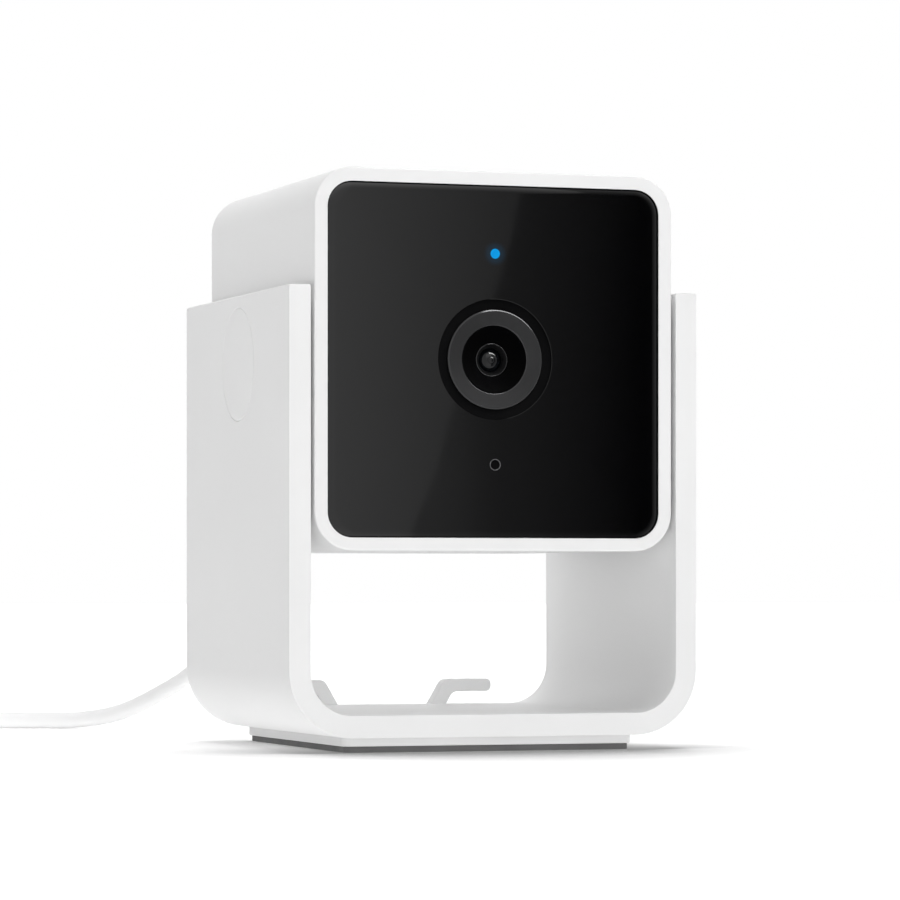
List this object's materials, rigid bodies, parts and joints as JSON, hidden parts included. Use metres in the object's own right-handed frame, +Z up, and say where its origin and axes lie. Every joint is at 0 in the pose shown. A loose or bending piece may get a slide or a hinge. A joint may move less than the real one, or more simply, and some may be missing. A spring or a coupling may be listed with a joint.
{
  "type": "pet camera",
  "caption": "Small white cube camera with a dark glossy front, tilting on a friction hinge between the arms of a U-shaped stand, with a coiled USB lead.",
  "frame": {"origin": "middle of the stand's footprint, on the surface it stands on", "axes": "+X to the right as the lens is faced, -Y out of the lens, +Z up"},
  "size_m": [0.1439, 0.1247, 0.0812],
  "materials": {
    "white_plastic": "smooth moulded white plastic",
    "black_gloss": "polished black acrylic",
    "black_plastic": "fine matt black plastic",
    "grey_metal": "dark grey satin metal",
    "plate_metal": "light grey painted steel",
    "pad_rubber": "matt grey rubber",
    "steel": "plain bright steel",
    "brass": "plain brass",
    "board_green": "green solder resist",
    "chip_black": "black resin",
    "clear_plastic": "clear moulded plastic",
    "lens_glass": "coated glass",
    "ribbon_white": "off-white film",
    "cone_paper": "black paper cone",
    "cord_white": "white satin cable sheath"
  },
  "bodies": {
    "stand": {"stand_yoke": "white_plastic", "base_plate": "plate_metal", "foot_pad": "pad_rubber", "base_screw_1": "steel", "base_screw_2": "steel", "base_screw_3": "steel", "base_screw_4": "steel", "pivot_cap_right": "white_plastic", "pivot_cap_left": "white_plastic", "cord_lead": "cord_white", "cord_coil": "cord_white", "coil_tie": "pad_rubber", "cord_tail": "cord_white", "usb_plug_body": "cord_white", "usb_plug_shell": "steel"},
    "camera": {"pivot_bush_right": "brass", "pivot_bush_left": "brass", "friction_washer_right": "steel", "friction_washer_left": "steel", "hinge_screw_right": "steel", "hinge_screw_left": "steel", "camera_housing": "white_plastic", "front_panel": "black_gloss", "front_chassis": "black_plastic", "lens_surround": "black_plastic", "lens_trim_ring": "grey_metal", "lens_baffle": "black_plastic", "lens_barrel": "black_plastic", "front_lens": "lens_glass", "lens_holder": "black_plastic", "ir_cut_filter": "lens_glass", "image_sensor": "chip_black", "led_board": "board_green", "ir_light_right": "clear_plastic", "ir_light_left": "clear_plastic", "status_led": "ribbon_white", "status_light_pipe": "clear_plastic", "microphone": "steel", "microphone_boot": "pad_rubber", "main_board": "board_green", "board_screw_1": "steel", "board_screw_2": "steel", "board_screw_3": "steel", "board_screw_4": "steel", "shield_can": "steel", "radio_module": "chip_black", "antenna_patch": "brass", "ribbon_cable": "ribbon_white", "speaker_grille": "white_plastic", "speaker_frame": "steel", "speaker_cone": "cone_paper", "speaker_magnet": "steel", "socket_board": "board_green", "usb_socket": "steel", "button_switch": "chip_black", "micro_plug_body": "cord_white", "micro_plug_shell": "steel"},
    "setup_button": {"setup_button": "white_plastic"}
  },
  "joints": [
    {"name": "camera_tilt", "type": "hinge", "parent": "stand", "child": "camera", "pos_m": [0, -0.0012, 0.05493], "axis": [1, 0, 0], "range_deg": [-20, 45], "deforming": ["cord_lead"]},
    {"name": "setup_button_press", "type": "slide", "parent": "camera", "child": "setup_button", "axis": [0, -1, 0], "range_m": [0, 0.00035], "stiffness_N_per_m": 900, "springref_m": -0.0009}
  ]
}
